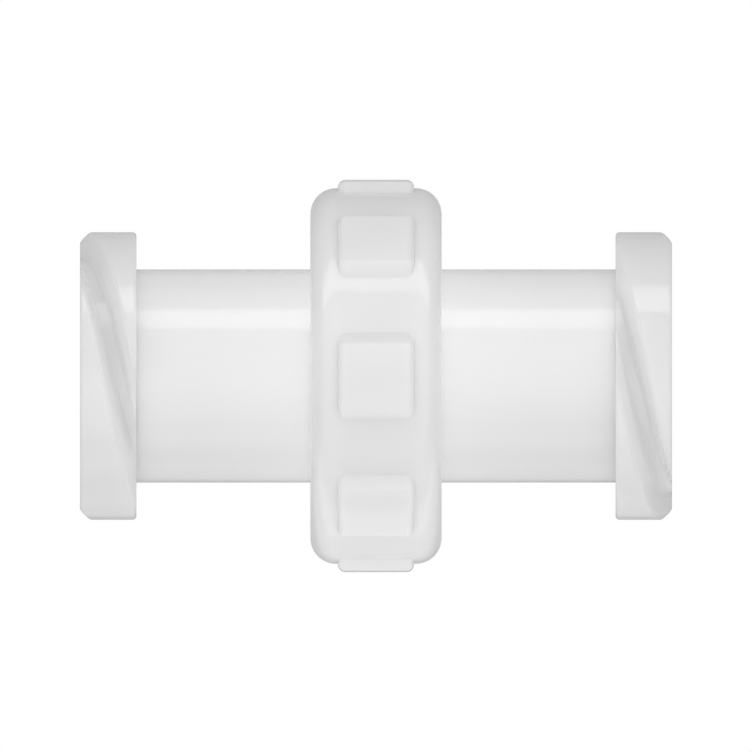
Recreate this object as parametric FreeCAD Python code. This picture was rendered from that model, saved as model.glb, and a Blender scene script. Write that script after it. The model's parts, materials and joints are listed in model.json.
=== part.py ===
"""Straight push fit coupling for 15 mm plumbing pipe, with a twist-lock cap on each end.

The coupling lies along X with its centre at the origin. A pipe pushed in at either end passes the
release collar, springs past the steel grab ring, seals in the O-ring and stops on the rib in the
middle of the body. A quarter turn of the cap screws it 1 mm along the body, and carries the
cartridge (spacer, grab ring and retaining ring) and the release collar with it towards the O-ring.

Every piece of an end is drawn at the +X end. The same piece turned half a turn about Z is the
other end's, so both ends have right-hand threads.
"""

import FreeCAD
import Part

import math
import os

# ---------------------------------------------------------------- driving dimensions, mm
pipe_d = 15.0  # outside diameter of the pipe that the coupling takes
overall_length = 78.0
barrel_d = 28.1
cap_d = 37.9
cap_width = 7.45
grip_d = 49.5
grip_width = 17.3
pad_across = 51.7  # across the faces of two opposite grip pads

# ---------------------------------------------------------------- clearances and play, mm
pipe_play = 0.15  # radial, between the pipe and the bores that guide it
sliding_play = 0.15  # radial, between a piece that moves and the bore around it
thread_play = 0.15  # along X, between each flank of a body ridge and the cap ridge beside it
seal_squeeze = 0.08  # radial, by which the O-ring and the teeth reach inside the pipe's surface

# ---------------------------------------------------------------- travels, mm and degrees
lock_turn = 90.0  # the cap's turn from open to locked
lock_travel = 1.0  # how far that turn screws the cap along the body
release_travel = 2.0  # how far the release collar is pushed in to free the pipe

half_length = overall_length / 2
guide_r = pipe_d / 2 + pipe_play
barrel_r = barrel_d / 2
cap_r = cap_d / 2
X_AXIS = FreeCAD.Vector(1, 0, 0)
Z_AXIS = FreeCAD.Vector(0, 0, 1)
ORIGIN = FreeCAD.Vector(0, 0, 0)

# ---------------------------------------------------------------- the body's inside, from the middle out
stop_half_width = 1.5
stop_r = pipe_d / 2 - 0.75
socket_end = 17.5  # where the pipe's bore opens into the O-ring's seat
o_ring_section = 2.6
o_ring_inner_r = pipe_d / 2 - seal_squeeze
o_ring_seat_r = o_ring_inner_r + o_ring_section
o_ring_seat_end = socket_end + o_ring_section + 0.25
counterbore_r = 11.6
body_end = 35.5

# ---------------------------------------------------------------- the screw between body and cap
screw_lead = lock_travel * 360.0 / lock_turn
screw_starts = 2
screw_pitch = screw_lead / screw_starts
screw_root_r = 13.1
screw_depth = 0.8
cap_bore_r = barrel_r + sliding_play
screw_base_width = 1.1
screw_taper = 0.625  # how much a ridge narrows, both flanks together, for each mm of its height
screw_shoulder = 31.9  # where the barrel steps down to the thread
thread_run_out = 0.9  # from each end of a thread's room to the middle of its ridges' ends
sunk = 0.2  # how deep a ridge or peg is sunk in the piece that carries it

# ---------------------------------------------------------------- the cartridge, at rest
cartridge_r = counterbore_r - sliding_play
grab_ring_thickness = 0.4
spacer_start = 21.6
grab_ring_start = 27.0
retainer_start = grab_ring_start + grab_ring_thickness
retainer_end = 34.0

# ---------------------------------------------------------------- the cap
cap_start = half_length - cap_width
hub_wall_thickness = 1.2
hub_r = cartridge_r
recess_r = 10.55
recess_floor = retainer_end + hub_wall_thickness
cap_wall_start = 36.7
groove_lead = 23.7
groove_starts = 2
groove_floor_r = 15.55
groove_floor_width = 2.3
groove_floor_bevel = 0.45  # between the floor and each wall
groove_mouth_width = 4.75
groove_mouth_bevel = 0.35  # at the edge of each wall
groove_place = half_length - 5.2  # the groove's middle where it crosses the +Y side

# ---------------------------------------------------------------- the release collar
sleeve_r = 9.05
collar_guide_r = sleeve_r + sliding_play
collar_rim_r = recess_r - sliding_play
collar_rim_start = recess_floor + release_travel + 0.1
collar_nose = retainer_start + release_travel - 0.2


# ---------------------------------------------------------------- shape helpers
def section(corners):
    """Face in the XY plane with the given corners, each (x, radius, rounding)."""
    points = [FreeCAD.Vector(x, r, 0) for x, r, _ in corners]
    edges = []
    ends = []
    for i, (_, _, rounding) in enumerate(corners):
        before = (points[i - 1] - points[i]).normalize()
        after = (points[(i + 1) % len(points)] - points[i]).normalize()
        if rounding == 0:
            ends.append((points[i], points[i]))
            continue
        half_angle = before.getAngle(after) / 2
        reach = rounding / math.tan(half_angle)
        start = points[i] + before * reach
        end = points[i] + after * reach
        inward = (before + after).normalize()
        middle = points[i] + inward * (rounding / math.sin(half_angle) - rounding)
        edges.append(Part.Arc(start, middle, end).toShape())
        ends.append((start, end))
    for i, (_, leaving) in enumerate(ends):
        arriving = ends[(i + 1) % len(ends)][0]
        if leaving.distanceToPoint(arriving) > 1e-6:
            edges.append(Part.makeLine(leaving, arriving))
    return Part.Face(Part.Wire(Part.__sortEdges__(edges)))


def turned(corners):
    """Solid of revolution about X from the corners (x, radius, rounding) of its half section."""
    return section(corners).revolve(ORIGIN, X_AXIS, 360)


def helical_bar(widths, lead, crossing, start, end):
    """Bar wound right-handed about X, from x = start to x = end.

    Its section is symmetric, and widths gives it as (radius, width along X) pairs from the inside
    out. Its middle crosses the +Y side at x = crossing, or a whole number of leads from there.
    """
    middle_r = (widths[0][0] + widths[-1][0]) / 2
    spine = Part.makeHelix(lead, end - start, middle_r)
    one_side = [FreeCAD.Vector(r, 0, -width / 2) for r, width in widths]
    other_side = [FreeCAD.Vector(r, 0, width / 2) for r, width in reversed(widths)]
    points = one_side + other_side
    profile = Part.makePolygon(points + points[:1])
    bar = Part.Wire(spine.Edges).makePipeShell([profile], True, True)
    bar.rotate(ORIGIN, FreeCAD.Vector(0, 1, 0), 90)
    quarter_turn = 90.0
    bar.rotate(ORIGIN, X_AXIS, quarter_turn + (start - crossing) / lead * 360.0)
    bar.translate(FreeCAD.Vector(start, 0, 0))
    return bar


def copies_around(shape, count, first=0.0):
    """Copies of a shape spread evenly about X."""
    made = []
    for i in range(count):
        copy = shape.copy()
        copy.rotate(ORIGIN, X_AXIS, first + 360.0 * i / count)
        made.append(copy)
    return made


def other_end(shape):
    """The same piece at the -X end."""
    copy = shape.copy()
    copy.rotate(ORIGIN, Z_AXIS, 180)
    return copy


# ---------------------------------------------------------------- body
flange_r = 16.8
flange_half_width = 4.6
flange_notch_count = 12
flange_notch_r = 1.2
peg_width = 2.2
peg_height = 1.5
peg_inner_r = counterbore_r + 0.2
peg_outer_r = screw_root_r - 0.2
peg_count = 2


def body_ridge_width(r):
    """Width along X of the body's screw ridges at radius r."""
    return screw_base_width - screw_taper * (r - screw_root_r)


def body_thread():
    """The body's external thread at the +X end, one ridge for each start."""
    widths = [(r, body_ridge_width(r)) for r in (screw_root_r - sunk, screw_root_r + screw_depth)]
    start = screw_shoulder + thread_run_out
    end = body_end - thread_run_out
    crossings = [screw_shoulder + i * screw_pitch for i in range(screw_starts)]
    return [helical_bar(widths, screw_lead, crossing, start, end) for crossing in crossings]


def twist_stops():
    """The two pegs on the body's end face that end the cap's turn."""
    peg = Part.makeBox(
        peg_height + sunk,
        peg_width,
        peg_outer_r - peg_inner_r,
        FreeCAD.Vector(body_end - sunk, -peg_width / 2, peg_inner_r),
    )
    return copies_around(peg, peg_count)


def body_outside():
    """The body without its bores: barrel, the notched flange inside the grip ring, and thread roots."""
    barrel = turned(
        [
            (-body_end, 0, 0),
            (-body_end, screw_root_r, 0.3),
            (-screw_shoulder, screw_root_r, 0),
            (-screw_shoulder, barrel_r, 0.2),
            (-flange_half_width, barrel_r, 0),
            (-flange_half_width, flange_r, 0.5),
            (flange_half_width, flange_r, 0.5),
            (flange_half_width, barrel_r, 0),
            (screw_shoulder, barrel_r, 0.2),
            (screw_shoulder, screw_root_r, 0),
            (body_end, screw_root_r, 0.3),
            (body_end, 0, 0),
        ]
    )
    notch = Part.makeCylinder(
        flange_notch_r,
        2 * flange_half_width,
        FreeCAD.Vector(-flange_half_width, 0, flange_r),
        X_AXIS,
    )
    return barrel.cut(copies_around(notch, flange_notch_count))


def body_bores():
    """What is cut out of the body: both sockets and the narrow way through the pipe stop."""
    lead_in = 0.6
    socket = turned(
        [
            (stop_half_width, 0, 0),
            (stop_half_width, guide_r, 0),
            (socket_end, guide_r, 0),
            (socket_end, o_ring_seat_r, 0),
            (o_ring_seat_end, o_ring_seat_r, 0),
            (o_ring_seat_end, counterbore_r, 0),
            (body_end - lead_in, counterbore_r, 0),
            (body_end + 1, counterbore_r + lead_in + 1, 0),
            (body_end + 1, 0, 0),
        ]
    )
    way_through = Part.makeCylinder(
        stop_r, 2 * stop_half_width + 2, FreeCAD.Vector(-stop_half_width - 1, 0, 0), X_AXIS
    )
    return [socket, other_end(socket), way_through]


def make_body():
    added = body_thread() + twist_stops()
    added += [other_end(piece) for piece in added]
    return body_outside().cut(body_bores()).fuse(added).removeSplitter()


# ---------------------------------------------------------------- grip ring
pad_count = 8
pad_length = 10.05  # along X
pad_face_height = 8.5  # of the pad's face, around the ring
pad_bevel_slope = 0.95  # how far the bevels beside the face spread for each mm towards the axis
pad_depth = 3.0  # from the middle of the face down to where the pad is buried in the ring
pad_end_rounding = 1.0
pad_crown_r = 40.0  # of the face's curve, flatter than the ring, so that the coupling stands on one pad


def grip_pad():
    """One grip pad, facing +Z: a gently crowned face between two bevels, with its ends rounded."""
    end_x = -pad_length / 2
    face_z = pad_across / 2
    face_y = pad_face_height / 2
    edge_z = face_z - pad_crown_r + math.sqrt(pad_crown_r**2 - face_y**2)
    base_z = face_z - pad_depth
    base_y = face_y + pad_bevel_slope * (edge_z - base_z)
    base = [FreeCAD.Vector(end_x, side * base_y, base_z) for side in (-1, 1)]
    face = [FreeCAD.Vector(end_x, side * face_y, edge_z) for side in (-1, 1)]
    crown = Part.Arc(face[0], FreeCAD.Vector(end_x, 0, face_z), face[1]).toShape()
    bevels = [Part.makeLine(base[0], face[0]), Part.makeLine(face[1], base[1])]
    outline = Part.Wire([bevels[0], crown, bevels[1], Part.makeLine(base[1], base[0])])
    pad = Part.Face(outline).extrude(FreeCAD.Vector(pad_length, 0, 0))
    end_edges = [e for e in pad.Edges if e.BoundBox.XLength < 0.001 and e.BoundBox.ZMax > base_z + 0.001]
    return pad.makeFillet(pad_end_rounding, end_edges)


def make_grip_ring():
    """The ring moulded over the body's flange, which locks it along X and against turning."""
    half = grip_width / 2
    edge_rounding = 3.4
    ring = turned(
        [
            (-half, barrel_r, 0),
            (-half, grip_d / 2, edge_rounding),
            (half, grip_d / 2, edge_rounding),
            (half, barrel_r, 0),
        ]
    )
    return ring.fuse(copies_around(grip_pad(), pad_count)).removeSplitter().cut(body_outside())


# ---------------------------------------------------------------- seal and cartridge
def make_o_ring():
    middle = socket_end + 0.15 + o_ring_section / 2
    ring_r = o_ring_inner_r + o_ring_section / 2
    return Part.makeTorus(ring_r, o_ring_section / 2, FreeCAD.Vector(middle, 0, 0), X_AXIS)


def make_spacer():
    """Ring between the O-ring and the teeth, coned to give the teeth room to bend."""
    bore_r = guide_r + 0.1
    cone_start = 24.3
    cone_mouth_r = 10.3
    return turned(
        [
            (spacer_start, bore_r, 0.3),
            (spacer_start, cartridge_r, 0.3),
            (grab_ring_start, cartridge_r, 0),
            (grab_ring_start, cone_mouth_r, 0),
            (cone_start, bore_r, 0),
        ]
    )


tooth_count = 16
tooth_gap = 1.2
tooth_root_r = 9.7
tooth_rake = 1.5  # how far a tooth leans towards the middle of the coupling, along X


def make_grab_ring():
    """Stainless ring whose teeth lean inwards, so that a pipe goes in and can't come out."""
    rim_end = grab_ring_start + grab_ring_thickness
    tip_thickness = 0.45
    dish = turned(
        [
            (grab_ring_start, cartridge_r - 0.1, 0),
            (rim_end, cartridge_r - 0.1, 0),
            (rim_end, tooth_root_r, 0),
            (rim_end - tooth_rake, o_ring_inner_r, 0),
            (rim_end - tooth_rake - tip_thickness, o_ring_inner_r, 0),
            (grab_ring_start, tooth_root_r + 0.2, 0),
        ]
    )
    slot = Part.makeBox(
        2 * tooth_rake + 1,
        tooth_gap,
        tooth_root_r - 0.3,
        FreeCAD.Vector(grab_ring_start - 2 * tooth_rake, -tooth_gap / 2, 0),
    )
    return dish.cut(copies_around(slot, tooth_count))


barb_step = 31.4  # where the retaining ring narrows behind the collar's barbs
barb_r = 9.75


def make_retainer():
    """Ring that clamps the grab ring and guides the release collar, and stops the collar's barbs."""
    return turned(
        [
            (retainer_start, barb_r + sliding_play, 0.3),
            (retainer_start, cartridge_r, 0),
            (retainer_end, cartridge_r, 0.3),
            (retainer_end, collar_guide_r, 0.3),
            (barb_step, collar_guide_r, 0),
            (barb_step, barb_r + sliding_play, 0),
        ]
    )


def make_release_collar():
    """Sleeve with a rim that the fingers press, and four barbed legs at its inner end."""
    barb_end = barb_step - 0.2
    barb_start = collar_nose + 0.2
    barb_ramp = 0.6
    mouth_bevel = 0.8
    leg_slot_width = 1.8
    leg_slot_end = 34.5
    sleeve = turned(
        [
            (collar_nose, guide_r, 0),
            (collar_nose, sleeve_r - 0.3, 0),
            (barb_start, sleeve_r, 0),
            (barb_end - barb_ramp, barb_r, 0),
            (barb_end, barb_r, 0),
            (barb_end, sleeve_r, 0),
            (collar_rim_start, sleeve_r, 0),
            (collar_rim_start, collar_rim_r, 0.3),
            (half_length, collar_rim_r, 0.5),
            (half_length, guide_r + mouth_bevel, 0.2),
            (half_length - mouth_bevel, guide_r, 0.4),
        ]
    )
    slot = Part.makeBox(
        leg_slot_end - collar_nose + 1,
        leg_slot_width,
        2 * barb_r,
        FreeCAD.Vector(collar_nose - 1, -leg_slot_width / 2, -barb_r),
    )
    return sleeve.cut(copies_around(slot, 2, first=45.0))


# ---------------------------------------------------------------- cap
cap_edge_rounding = 0.5
stop_slot_play = 0.3
stop_slot_depth = peg_height + 0.1


def cap_blank():
    """The cap before its thread and grooves: skirt, end wall and the hub that holds the cartridge."""
    return turned(
        [
            (cap_start, cap_bore_r, 0.2),
            (cap_start, cap_r, cap_edge_rounding),
            (half_length, cap_r, cap_edge_rounding),
            (half_length, recess_r, 0.3),
            (recess_floor, recess_r, 0),
            (recess_floor, collar_guide_r, 0),
            (retainer_end, collar_guide_r, 0),
            (retainer_end, hub_r, 0.2),
            (cap_wall_start, hub_r, 0),
            (cap_wall_start, cap_bore_r, 0),
        ]
    )


def cap_grooves():
    """The two helical grooves round the outside of the cap, open at both of its faces."""
    overshoot = 0.8
    outer_width = groove_mouth_width + 2 * overshoot
    widths = [
        (groove_floor_r, groove_floor_width - 2 * groove_floor_bevel),
        (groove_floor_r + groove_floor_bevel, groove_floor_width),
        (cap_r - groove_mouth_bevel, groove_mouth_width - 2 * groove_mouth_bevel),
        (cap_r + overshoot, outer_width),
    ]
    grooves = []
    for i in range(groove_starts):
        crossing = groove_place + i * groove_lead / groove_starts
        start = cap_start - outer_width
        end = half_length + outer_width
        grooves.append(helical_bar(widths, groove_lead, crossing, start, end))
    return grooves


def cap_thread():
    """The cap's internal thread, midway between the body's ridges."""
    room = screw_pitch - 2 * thread_play
    tip_r = screw_root_r + sliding_play + 0.1
    widths = [(r, room - body_ridge_width(r)) for r in (tip_r, cap_bore_r + sunk)]
    start = screw_shoulder + lock_travel + thread_run_out
    end = cap_wall_start - thread_run_out
    crossings = [screw_shoulder + (i + 0.5) * screw_pitch for i in range(screw_starts)]
    return [helical_bar(widths, screw_lead, crossing, start, end) for crossing in crossings]


def stop_slots():
    """Arc slots in the cap's end wall in which the body's pegs travel as the cap turns."""
    inner_r = peg_inner_r - sliding_play
    outer_r = peg_outer_r + 2 * sliding_play
    half_peg = math.degrees(math.atan2(peg_width / 2 + stop_slot_play, peg_inner_r))
    wedge = section(
        [
            (cap_wall_start - 0.5, inner_r, 0),
            (cap_wall_start - 0.5, outer_r, 0),
            (cap_wall_start + stop_slot_depth, outer_r, 0),
            (cap_wall_start + stop_slot_depth, inner_r, 0),
        ]
    ).revolve(ORIGIN, X_AXIS, lock_turn + 2 * half_peg)
    # The section lies on the +Y side and the first peg on +Z, a quarter turn further on.
    # Locking turns the cap the negative way about X, so the slot reaches the positive way.
    wedge.rotate(ORIGIN, X_AXIS, 90.0 - half_peg)
    return copies_around(wedge, peg_count)


def make_cap():
    return cap_blank().cut(cap_grooves() + stop_slots()).fuse(cap_thread()).removeSplitter()


# ---------------------------------------------------------------- build
def save(name, shape):
    solids = Part.makeCompound(shape.Solids)
    print(f"{name}: {len(shape.Solids)} solid, {shape.Volume:.1f} mm3, valid {shape.isValid()}")
    solids.exportStep(f"parts/{name}.step")


def main():
    os.makedirs("parts", exist_ok=True)
    save("body", make_body())
    save("grip_ring", make_grip_ring())
    end_pieces = {
        "o_ring": make_o_ring(),
        "spacer_ring": make_spacer(),
        "grab_ring": make_grab_ring(),
        "retaining_ring": make_retainer(),
        "release_collar": make_release_collar(),
        "lock_cap": make_cap(),
    }
    for name, shape in end_pieces.items():
        save(f"right_{name}", shape)
        save(f"left_{name}", other_end(shape))


main()
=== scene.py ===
"""Looks for the straight push fit coupling: glossy white plastic, black seals and steel grab rings.

Every CAD node keeps its shape and gets a material of its own. Lengths are in metres.
"""

import json
import math

import bpy
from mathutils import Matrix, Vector

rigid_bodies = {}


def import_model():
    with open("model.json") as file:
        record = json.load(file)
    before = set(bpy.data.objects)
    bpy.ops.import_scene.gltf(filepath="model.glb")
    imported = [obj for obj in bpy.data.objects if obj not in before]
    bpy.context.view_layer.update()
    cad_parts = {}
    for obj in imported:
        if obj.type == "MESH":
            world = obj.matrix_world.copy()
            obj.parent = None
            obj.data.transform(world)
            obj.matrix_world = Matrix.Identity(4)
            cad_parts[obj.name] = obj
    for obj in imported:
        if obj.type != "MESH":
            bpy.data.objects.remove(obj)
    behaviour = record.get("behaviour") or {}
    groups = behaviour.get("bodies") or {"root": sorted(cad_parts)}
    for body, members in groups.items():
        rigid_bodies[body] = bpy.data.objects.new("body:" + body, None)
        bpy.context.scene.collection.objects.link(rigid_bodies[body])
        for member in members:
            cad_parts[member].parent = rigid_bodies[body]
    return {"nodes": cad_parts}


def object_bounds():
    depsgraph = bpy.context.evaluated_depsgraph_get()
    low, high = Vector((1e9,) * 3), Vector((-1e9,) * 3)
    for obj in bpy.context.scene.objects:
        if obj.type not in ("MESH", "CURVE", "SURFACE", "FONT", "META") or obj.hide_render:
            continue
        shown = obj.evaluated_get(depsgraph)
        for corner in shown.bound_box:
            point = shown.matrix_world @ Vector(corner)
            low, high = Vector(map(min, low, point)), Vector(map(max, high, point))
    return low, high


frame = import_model()
cad_low, cad_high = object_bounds()
nodes = frame["nodes"]
scene = bpy.context.scene

MM = 0.001
MOULD_EDGE_RADIUS = 0.35 * MM
POLYPROPYLENE_IOR = 1.49

FLOOR_HALF_WIDTH = 3.0
FLOOR_GAP = 0.02 * MM  # between the floor and the lowest grip pad

CAMERA_DISTANCE = 0.4
PICTURE_WIDTH = 1.27  # for each metre of the coupling's length


# ---------------------------------------------------------------- node helpers
def new_material(name):
    """A material with only an output and a Principled BSDF, and the two of them."""
    material = bpy.data.materials.new(name)
    material.use_nodes = True
    tree = material.node_tree
    tree.nodes.clear()
    output = tree.nodes.new("ShaderNodeOutputMaterial")
    shader = tree.nodes.new("ShaderNodeBsdfPrincipled")
    tree.links.new(shader.outputs["BSDF"], output.inputs["Surface"])
    return material, tree, shader


def noise(tree, scale, detail=3.0, stretch=(1, 1, 1)):
    """Noise texture laid in the piece's own coordinates; scale is in features for each metre."""
    place = tree.nodes.new("ShaderNodeTexCoord")
    mapping = tree.nodes.new("ShaderNodeMapping")
    mapping.inputs["Scale"].default_value = stretch
    texture = tree.nodes.new("ShaderNodeTexNoise")
    texture.inputs["Scale"].default_value = scale
    texture.inputs["Detail"].default_value = detail
    tree.links.new(place.outputs["Object"], mapping.inputs["Vector"])
    tree.links.new(mapping.outputs["Vector"], texture.inputs["Vector"])
    return texture.outputs["Fac"]


def ramp(tree, value, stops):
    """Colour ramp over a value, from (position, colour) stops. A colour may be one grey number."""
    node = tree.nodes.new("ShaderNodeValToRGB")
    while len(node.color_ramp.elements) < len(stops):
        node.color_ramp.elements.new(0.5)
    for element, (position, colour) in zip(node.color_ramp.elements, stops):
        element.position = position
        if isinstance(colour, (int, float)):
            colour = (colour, colour, colour)
        element.color = (*colour, 1.0)
    tree.links.new(value, node.inputs["Fac"])
    return node.outputs["Color"]


def bump(tree, height, distance, under=None):
    """Bump from a height between 0 and 1 that stands for that distance, laid over the normal under."""
    node = tree.nodes.new("ShaderNodeBump")
    node.inputs["Distance"].default_value = distance
    tree.links.new(height, node.inputs["Height"])
    if under is not None:
        tree.links.new(under, node.inputs["Normal"])
    return node.outputs["Normal"]


def soft_edges(tree, radius):
    """Normal that rounds every sharp edge by that radius, as a mould leaves it."""
    node = tree.nodes.new("ShaderNodeBevel")
    node.samples = 6
    node.inputs["Radius"].default_value = radius
    return node.outputs["Normal"]


# ---------------------------------------------------------------- materials
def white_plastic(name, light, dark, rough, scatter):
    """Glossy natural polypropylene: milky, with faint flow marks and a fine mould texture.

    Light wanders about scatter millimetres inside it before it comes out.
    """
    material, tree, shader = new_material(name)
    flow = noise(tree, 90, detail=2, stretch=(0.5, 1, 1))
    tree.links.new(ramp(tree, flow, [(0.3, dark), (0.7, light)]), shader.inputs["Base Color"])
    smears = noise(tree, 260, detail=4)
    gloss = ramp(tree, smears, [(0.3, rough * 0.85), (0.75, rough * 1.2)])
    tree.links.new(gloss, shader.inputs["Roughness"])
    waves = bump(tree, noise(tree, 160, detail=1), 0.012 * MM, under=soft_edges(tree, MOULD_EDGE_RADIUS))
    grain = bump(tree, noise(tree, 3500, detail=2), 0.0012 * MM, under=waves)
    tree.links.new(grain, shader.inputs["Normal"])
    shader.inputs["IOR"].default_value = POLYPROPYLENE_IOR
    shader.inputs["Specular IOR Level"].default_value = 0.75
    shader.inputs["Subsurface Weight"].default_value = 0.8
    shader.inputs["Subsurface Radius"].default_value = (1.0, 1.0, 1.0)
    shader.inputs["Subsurface Scale"].default_value = scatter * MM
    return material


def natural_acetal(name):
    """The spacer's and the retaining ring's plastic, a little greyer and duller than the body."""
    material, tree, shader = new_material(name)
    tone = noise(tree, 400, detail=3)
    colours = [(0.3, (0.60, 0.60, 0.57)), (0.7, (0.70, 0.70, 0.67))]
    tree.links.new(ramp(tree, tone, colours), shader.inputs["Base Color"])
    tree.links.new(ramp(tree, tone, [(0.2, 0.38), (0.8, 0.52)]), shader.inputs["Roughness"])
    tree.links.new(bump(tree, noise(tree, 6000), 0.003 * MM), shader.inputs["Normal"])
    return material


def seal_rubber(name):
    """Matt black EPDM with a trace of silicone grease."""
    material, tree, shader = new_material(name)
    tone = noise(tree, 900, detail=4)
    tree.links.new(ramp(tree, tone, [(0.3, 0.012), (0.8, 0.03)]), shader.inputs["Base Color"])
    tree.links.new(ramp(tree, tone, [(0.3, 0.35), (0.7, 0.6)]), shader.inputs["Roughness"])
    tree.links.new(bump(tree, noise(tree, 9000, detail=4), 0.004 * MM), shader.inputs["Normal"])
    return material


def spring_steel(name):
    """Pressed stainless strip, with the fine lines of rolling."""
    material, tree, shader = new_material(name)
    lines = noise(tree, 1500, detail=5, stretch=(1, 0.08, 1))
    tree.links.new(ramp(tree, lines, [(0.3, 0.42), (0.7, 0.60)]), shader.inputs["Base Color"])
    tree.links.new(ramp(tree, lines, [(0.3, 0.20), (0.7, 0.38)]), shader.inputs["Roughness"])
    tree.links.new(bump(tree, lines, 0.002 * MM), shader.inputs["Normal"])
    shader.inputs["Metallic"].default_value = 1.0
    return material


# ---------------------------------------------------------------- nodes to materials
BODY_WHITE = white_plastic("body_plastic", 0.90, 0.88, 0.13, 2.5)
GRIP_WHITE = white_plastic("grip_plastic", 0.89, 0.87, 0.13, 2.5)
CAP_WHITE = white_plastic("cap_plastic", 0.87, 0.85, 0.13, 6.0)
COLLAR_WHITE = white_plastic("collar_plastic", 0.85, 0.83, 0.20, 2.5)
ACETAL = natural_acetal("cartridge_plastic")
RUBBER = seal_rubber("seal_rubber")
STEEL = spring_steel("spring_steel")

FINISHES = {
    "body": BODY_WHITE,
    "grip_ring": GRIP_WHITE,
    "lock_cap": CAP_WHITE,
    "release_collar": COLLAR_WHITE,
    "spacer_ring": ACETAL,
    "retaining_ring": ACETAL,
    "o_ring": RUBBER,
    "grab_ring": STEEL,
}


def kind_of(piece_name):
    """The piece's name without its end of the coupling."""
    return piece_name.removeprefix("right_").removeprefix("left_")


for node_name, node in nodes.items():
    for material_slot in node.material_slots:
        material_slot.material = FINISHES[kind_of(node_name)]


# ---------------------------------------------------------------- floor
def make_floor():
    """Plain pale floor just under the lowest grip pad. It takes shadows and throws no light back."""
    half = FLOOR_HALF_WIDTH
    height = cad_low.z - FLOOR_GAP
    corners = [(-half, -half, height), (half, -half, height), (half, half, height), (-half, half, height)]
    mesh = bpy.data.meshes.new("floor")
    mesh.from_pydata(corners, [], [(0, 1, 2, 3)])
    floor = bpy.data.objects.new("floor", mesh)
    scene.collection.objects.link(floor)
    material, tree, shader = new_material("floor_paper")
    tone = noise(tree, 60, detail=3)
    tree.links.new(ramp(tree, tone, [(0.2, 0.86), (0.8, 0.89)]), shader.inputs["Base Color"])
    shader.inputs["Roughness"].default_value = 0.7
    mesh.materials.append(material)
    floor.visible_diffuse = False
    floor.visible_glossy = False
    floor.visible_transmission = False
    floor.visible_shadow = False


make_floor()


# ---------------------------------------------------------------- light
BOX_DISTANCE = 0.45  # from the coupling's axis
BARREL_SIDE = ("body", "o_ring", "spacer_ring", "grab_ring", "retaining_ring")
RING_SIDE = ("grip_ring",)
CAP_SIDE = ("lock_cap", "release_collar")
FLOOR = ("floor",)
# name, degrees above the horizon (past 90 is behind), degrees covered, length, whether every piece
# shades it, and the radiance on the barrel's side, the ring, the caps' side and the floor
SOFT_BOXES = [
    ("front_box", 25, 54, 1.6, True, (0.36, 0.42, 0.20, 0.55)),
    ("key_box", 64, 24, 1.2, False, (1.60, 1.50, 1.60, 1.10)),
    ("top_box", 90, 40, 1.6, False, (0.20, 0.0, 0.06, 0.55)),
    ("high_back_box", 130, 30, 1.6, False, (0.10, 0.0, 0.0, 0.0)),
    ("low_front_box", -26, 50, 1.6, False, (0.58, 0.50, 0.66, 0.0)),
    ("under_front_box", -66, 30, 1.6, False, (0.42, 0.25, 0.30, 0.0)),
    ("under_box", -100, 30, 1.6, False, (0.0, 0.75, 0.0, 0.0)),
    ("under_back_box", -130, 45, 1.6, False, (0.24, 0.24, 0.24, 0.0)),
]


def group_of(kinds):
    """Collection of the pieces of those kinds."""
    group = bpy.data.collections.new("lit_" + kinds[0])
    for piece in scene.collection.all_objects:
        if kind_of(piece.name) in kinds:
            group.objects.link(piece)
    return group


def soft_box(name, elevation, spread, length, radiance, lit, blocking):
    """Long rectangular light, parallel to the coupling's axis and facing it, never seen itself.

    It lights only the pieces in the collection lit, and only those in blocking cast its shadows.
    """
    angle = math.radians(elevation)
    light = bpy.data.lights.new(name, "AREA")
    light.shape = "RECTANGLE"
    light.size = length
    light.size_y = math.radians(spread) * BOX_DISTANCE
    light.energy = math.pi * light.size * light.size_y * radiance
    lamp = bpy.data.objects.new(name, light)
    lamp.location = Vector((0, -math.cos(angle), math.sin(angle))) * BOX_DISTANCE
    lamp.rotation_euler = (math.radians(90) - angle, 0, 0)
    lamp.visible_camera = False
    scene.collection.objects.link(lamp)
    lamp.light_linking.receiver_collection = lit
    lamp.light_linking.blocker_collection = blocking


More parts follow.
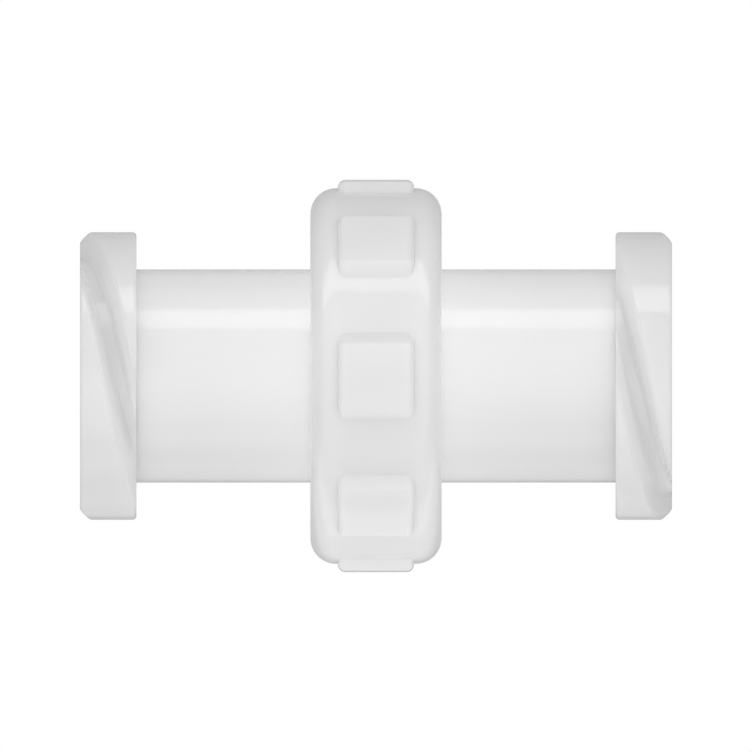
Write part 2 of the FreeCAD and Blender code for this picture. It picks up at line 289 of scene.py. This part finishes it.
def make_lights():
    """The soft boxes. Milky plastic lets light through, so most boxes aren't shaded by other groups.

    The caps' blocker is the floor, which casts no shadow, so light reaches their groove floors. None
    as a blocker means that every piece casts a shadow.
    """
    barrel, ring, caps, floor = (group_of(kinds) for kinds in (BARREL_SIDE, RING_SIDE, CAP_SIDE, FLOOR))
    shading = [(barrel, barrel), (ring, ring), (caps, floor), (floor, None)]
    for name, elevation, spread, length, all_shade_it, radiances in SOFT_BOXES:
        for (lit, own_blocking), radiance in zip(shading, radiances):
            blocking = None if all_shade_it else own_blocking
            if radiance > 0:
                soft_box(name, elevation, spread, length, radiance, lit, blocking)


def make_world():
    """White backdrop for the camera. As light it is a dim tent, bright at the horizon and below."""
    world = bpy.data.worlds.new("studio")
    world.use_nodes = True
    tree = world.node_tree
    tree.nodes.clear()
    output = tree.nodes.new("ShaderNodeOutputWorld")
    place = tree.nodes.new("ShaderNodeTexCoord")
    split = tree.nodes.new("ShaderNodeSeparateXYZ")
    tree.links.new(place.outputs["Generated"], split.inputs["Vector"])
    height = tree.nodes.new("ShaderNodeMapRange")
    height.inputs["From Min"].default_value = -1.0
    tree.links.new(split.outputs["Z"], height.inputs["Value"])
    room = tree.nodes.new("ShaderNodeBackground")
    shades = [(0.0, 0.50), (0.40, 0.40), (0.50, 0.58), (0.60, 0.48), (0.80, 0.38), (1.0, 0.22)]
    tree.links.new(ramp(tree, height.outputs["Result"], shades), room.inputs["Color"])
    backdrop = tree.nodes.new("ShaderNodeBackground")
    backdrop.inputs["Color"].default_value = (1, 1, 1, 1)
    path = tree.nodes.new("ShaderNodeLightPath")
    pick = tree.nodes.new("ShaderNodeMixShader")
    tree.links.new(path.outputs["Is Camera Ray"], pick.inputs["Fac"])
    tree.links.new(room.outputs["Background"], pick.inputs[1])
    tree.links.new(backdrop.outputs["Background"], pick.inputs[2])
    tree.links.new(pick.outputs["Shader"], output.inputs["Surface"])
    scene.world = world


make_world()
make_lights()


# ---------------------------------------------------------------- camera
def make_camera():
    """Square on to the coupling's side, with parallel rays, level with its axis."""
    camera = bpy.data.cameras.new("camera")
    camera.type = "ORTHO"
    camera.ortho_scale = (cad_high.x - cad_low.x) * PICTURE_WIDTH
    holder = bpy.data.objects.new("camera", camera)
    holder.location = (0, -CAMERA_DISTANCE, 0)
    holder.rotation_euler = (math.radians(90), 0, 0)
    camera.clip_start = 0.01
    camera.clip_end = 10
    scene.collection.objects.link(holder)
    scene.camera = holder


make_camera()
scene.view_settings.view_transform = "Standard"
